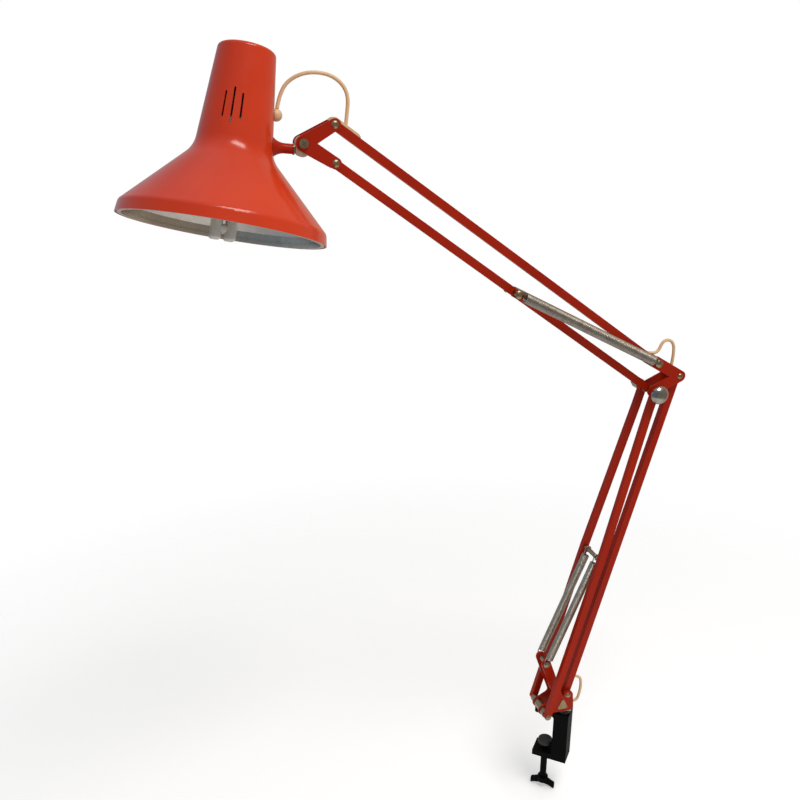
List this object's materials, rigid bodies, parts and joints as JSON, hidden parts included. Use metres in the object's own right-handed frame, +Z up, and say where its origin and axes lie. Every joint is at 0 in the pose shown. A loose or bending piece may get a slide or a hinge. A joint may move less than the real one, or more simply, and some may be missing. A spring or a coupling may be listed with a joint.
{
  "type": "architect desk lamp",
  "caption": "Clamp-mounted architect desk lamp: spring-balanced parallelogram arm with an elbow, a conical metal shade on a swivel head, and a cord run along the bars.",
  "frame": {"origin": "On the underside of the clamp's upper jaw, the face that rests on the desk, straight above the clamp screw.", "axes": "+Z up. The arm folds in a plane parallel to XZ, and the shade hangs towards -X. -Y faces the viewer."},
  "size_m": [0.5709, 0.1774, 0.8714],
  "materials": {
    "red_paint": "satin",
    "shade_paint": "gloss",
    "black_paint": "satin",
    "black_rubber": "matte",
    "dark_plastic": "matte",
    "steel": "satin",
    "polished_steel": "polished",
    "cast_grey": "cast",
    "spring_steel": "bright drawn",
    "pale_metal": "satin",
    "cream_plastic": "satin",
    "cream_cord": "satin",
    "bright_reflector": "bright",
    "white_plastic": "gloss",
    "lamp_glass": "opal"
  },
  "bodies": {
    "clamp": {"clamp_frame": "black_paint", "swivel_bush": "dark_plastic"},
    "screw": {"clamp_screw": "black_paint", "clamp_pad": "black_rubber"},
    "bracket": {"swivel_spindle": "steel", "base_plate_near": "red_paint", "base_plate_far": "red_paint", "base_rod": "steel", "rear_pin": "steel", "spring_lug_pin": "steel", "badge_plate": "pale_metal", "base_spacers": "steel", "base_grommet": "cream_plastic", "lower_spring_near": "spring_steel", "lower_spring_far": "spring_steel", "base_cord": "cream_cord"},
    "lower_arm": {"lower_bar_near": "red_paint", "lower_bar_far": "red_paint", "lower_spring_pin": "steel"},
    "rear_arm": {"rear_bar": "red_paint", "rear_cord": "cream_cord", "rear_guide": "cream_plastic"},
    "elbow": {"elbow_plate_near": "red_paint", "elbow_plate_far": "red_paint", "elbow_rear_pin": "steel", "elbow_spring_pin": "steel", "elbow_spacers": "steel", "elbow_bolt": "steel", "elbow_saddle": "cream_plastic", "upper_spring_near": "spring_steel", "upper_spring_far": "spring_steel", "elbow_cord": "cream_cord"},
    "knob": {"elbow_knob": "polished_steel"},
    "top_arm": {"top_bar": "red_paint", "cable_guide": "cream_plastic", "top_cord": "cream_cord"},
    "upper_arm": {"upper_bar": "red_paint", "upper_spring_pin": "steel"},
    "fork": {"fork_plate_near": "red_paint", "fork_plate_far": "red_paint", "fork_top_pin": "steel", "fork_low_pin": "steel", "fork_spacers": "steel", "head_screw": "steel", "head_nut": "steel", "head_cord_bar": "cream_cord"},
    "knuckle": {"head_knuckle": "cast_grey", "stem_washer": "steel", "head_cord_middle": "cream_cord"},
    "head": {"stem": "red_paint", "stem_fixing_screw": "steel", "shade": "shade_paint", "reflector": "bright_reflector", "lampholder": "dark_plastic", "lampholder_ring": "dark_plastic", "lamp_base": "white_plastic", "lamp_tubes": "lamp_glass", "cord_gland": "cream_plastic", "head_cord_shade": "cream_cord"}
  },
  "joints": [
    {"name": "clamp_screw_advance", "type": "slide", "parent": "clamp", "child": "screw", "axis": [0, 0, 1], "range_m": [-0.006, 0.036]},
    {"name": "base_swivel", "type": "hinge", "parent": "clamp", "child": "bracket", "pos_m": [0.01532, -0.01286, 0.005], "axis": [0, 0, 1], "continuous": true},
    {"name": "lower_arm_tilt", "type": "hinge", "parent": "bracket", "child": "lower_arm", "pos_m": [-0.01628, -0.01286, 0.018], "axis": [0, 1, 0], "range_deg": [-35, 25], "deforming": ["lower_spring_near", "lower_spring_far"]},
    {"name": "rear_bar_swing", "type": "hinge", "parent": "bracket", "child": "rear_arm", "pos_m": [0.01532, -0.01286, 0.0323], "axis": [0, 1, 0], "range_deg": [-35, 25], "deforming": ["base_cord"]},
    {"name": "elbow_levelling", "type": "hinge", "parent": "lower_arm", "child": "elbow", "pos_m": [0.08893, -0.01286, 0.41065], "axis": [0, 1, 0], "range_deg": [-25, 35]},
    {"name": "elbow_knob_turn", "type": "hinge", "parent": "elbow", "child": "knob", "pos_m": [0.08893, -0.01286, 0.41065], "axis": [0, 1, 0], "continuous": true},
    {"name": "upper_arm_tilt", "type": "hinge", "parent": "elbow", "child": "top_arm", "pos_m": [0.08893, -0.01286, 0.44365], "axis": [0, 1, 0], "range_deg": [-75, 28], "deforming": ["elbow_cord"]},
    {"name": "upper_bar_swing", "type": "hinge", "parent": "elbow", "child": "upper_arm", "pos_m": [0.08893, -0.01286, 0.41065], "axis": [0, 1, 0], "range_deg": [-75, 28], "deforming": ["upper_spring_near", "upper_spring_far"]},
    {"name": "fork_levelling", "type": "hinge", "parent": "top_arm", "child": "fork", "pos_m": [-0.253, -0.01286, 0.68754], "axis": [0, 1, 0], "range_deg": [-28, 75], "deforming": ["head_cord_bar"]},
    {"name": "head_tilt", "type": "hinge", "parent": "fork", "child": "knuckle", "pos_m": [-0.2815, -0.01286, 0.67204], "axis": [0, 1, 0], "range_deg": [-25, 48], "deforming": ["head_cord_middle"]},
    {"name": "head_roll", "type": "hinge", "parent": "knuckle", "child": "head", "pos_m": [-0.28208, -0.01286, 0.66627], "axis": [-0.9949, 0, 0.1011], "range_deg": [-90, 70], "deforming": ["head_cord_shade"]}
  ],
  "couplings": [
    {"joint": "rear_bar_swing", "follows": "lower_arm_tilt", "ratio": 1},
    {"joint": "elbow_levelling", "follows": "lower_arm_tilt", "ratio": -1},
    {"joint": "upper_bar_swing", "follows": "upper_arm_tilt", "ratio": 1},
    {"joint": "fork_levelling", "follows": "upper_arm_tilt", "ratio": -1}
  ]
}
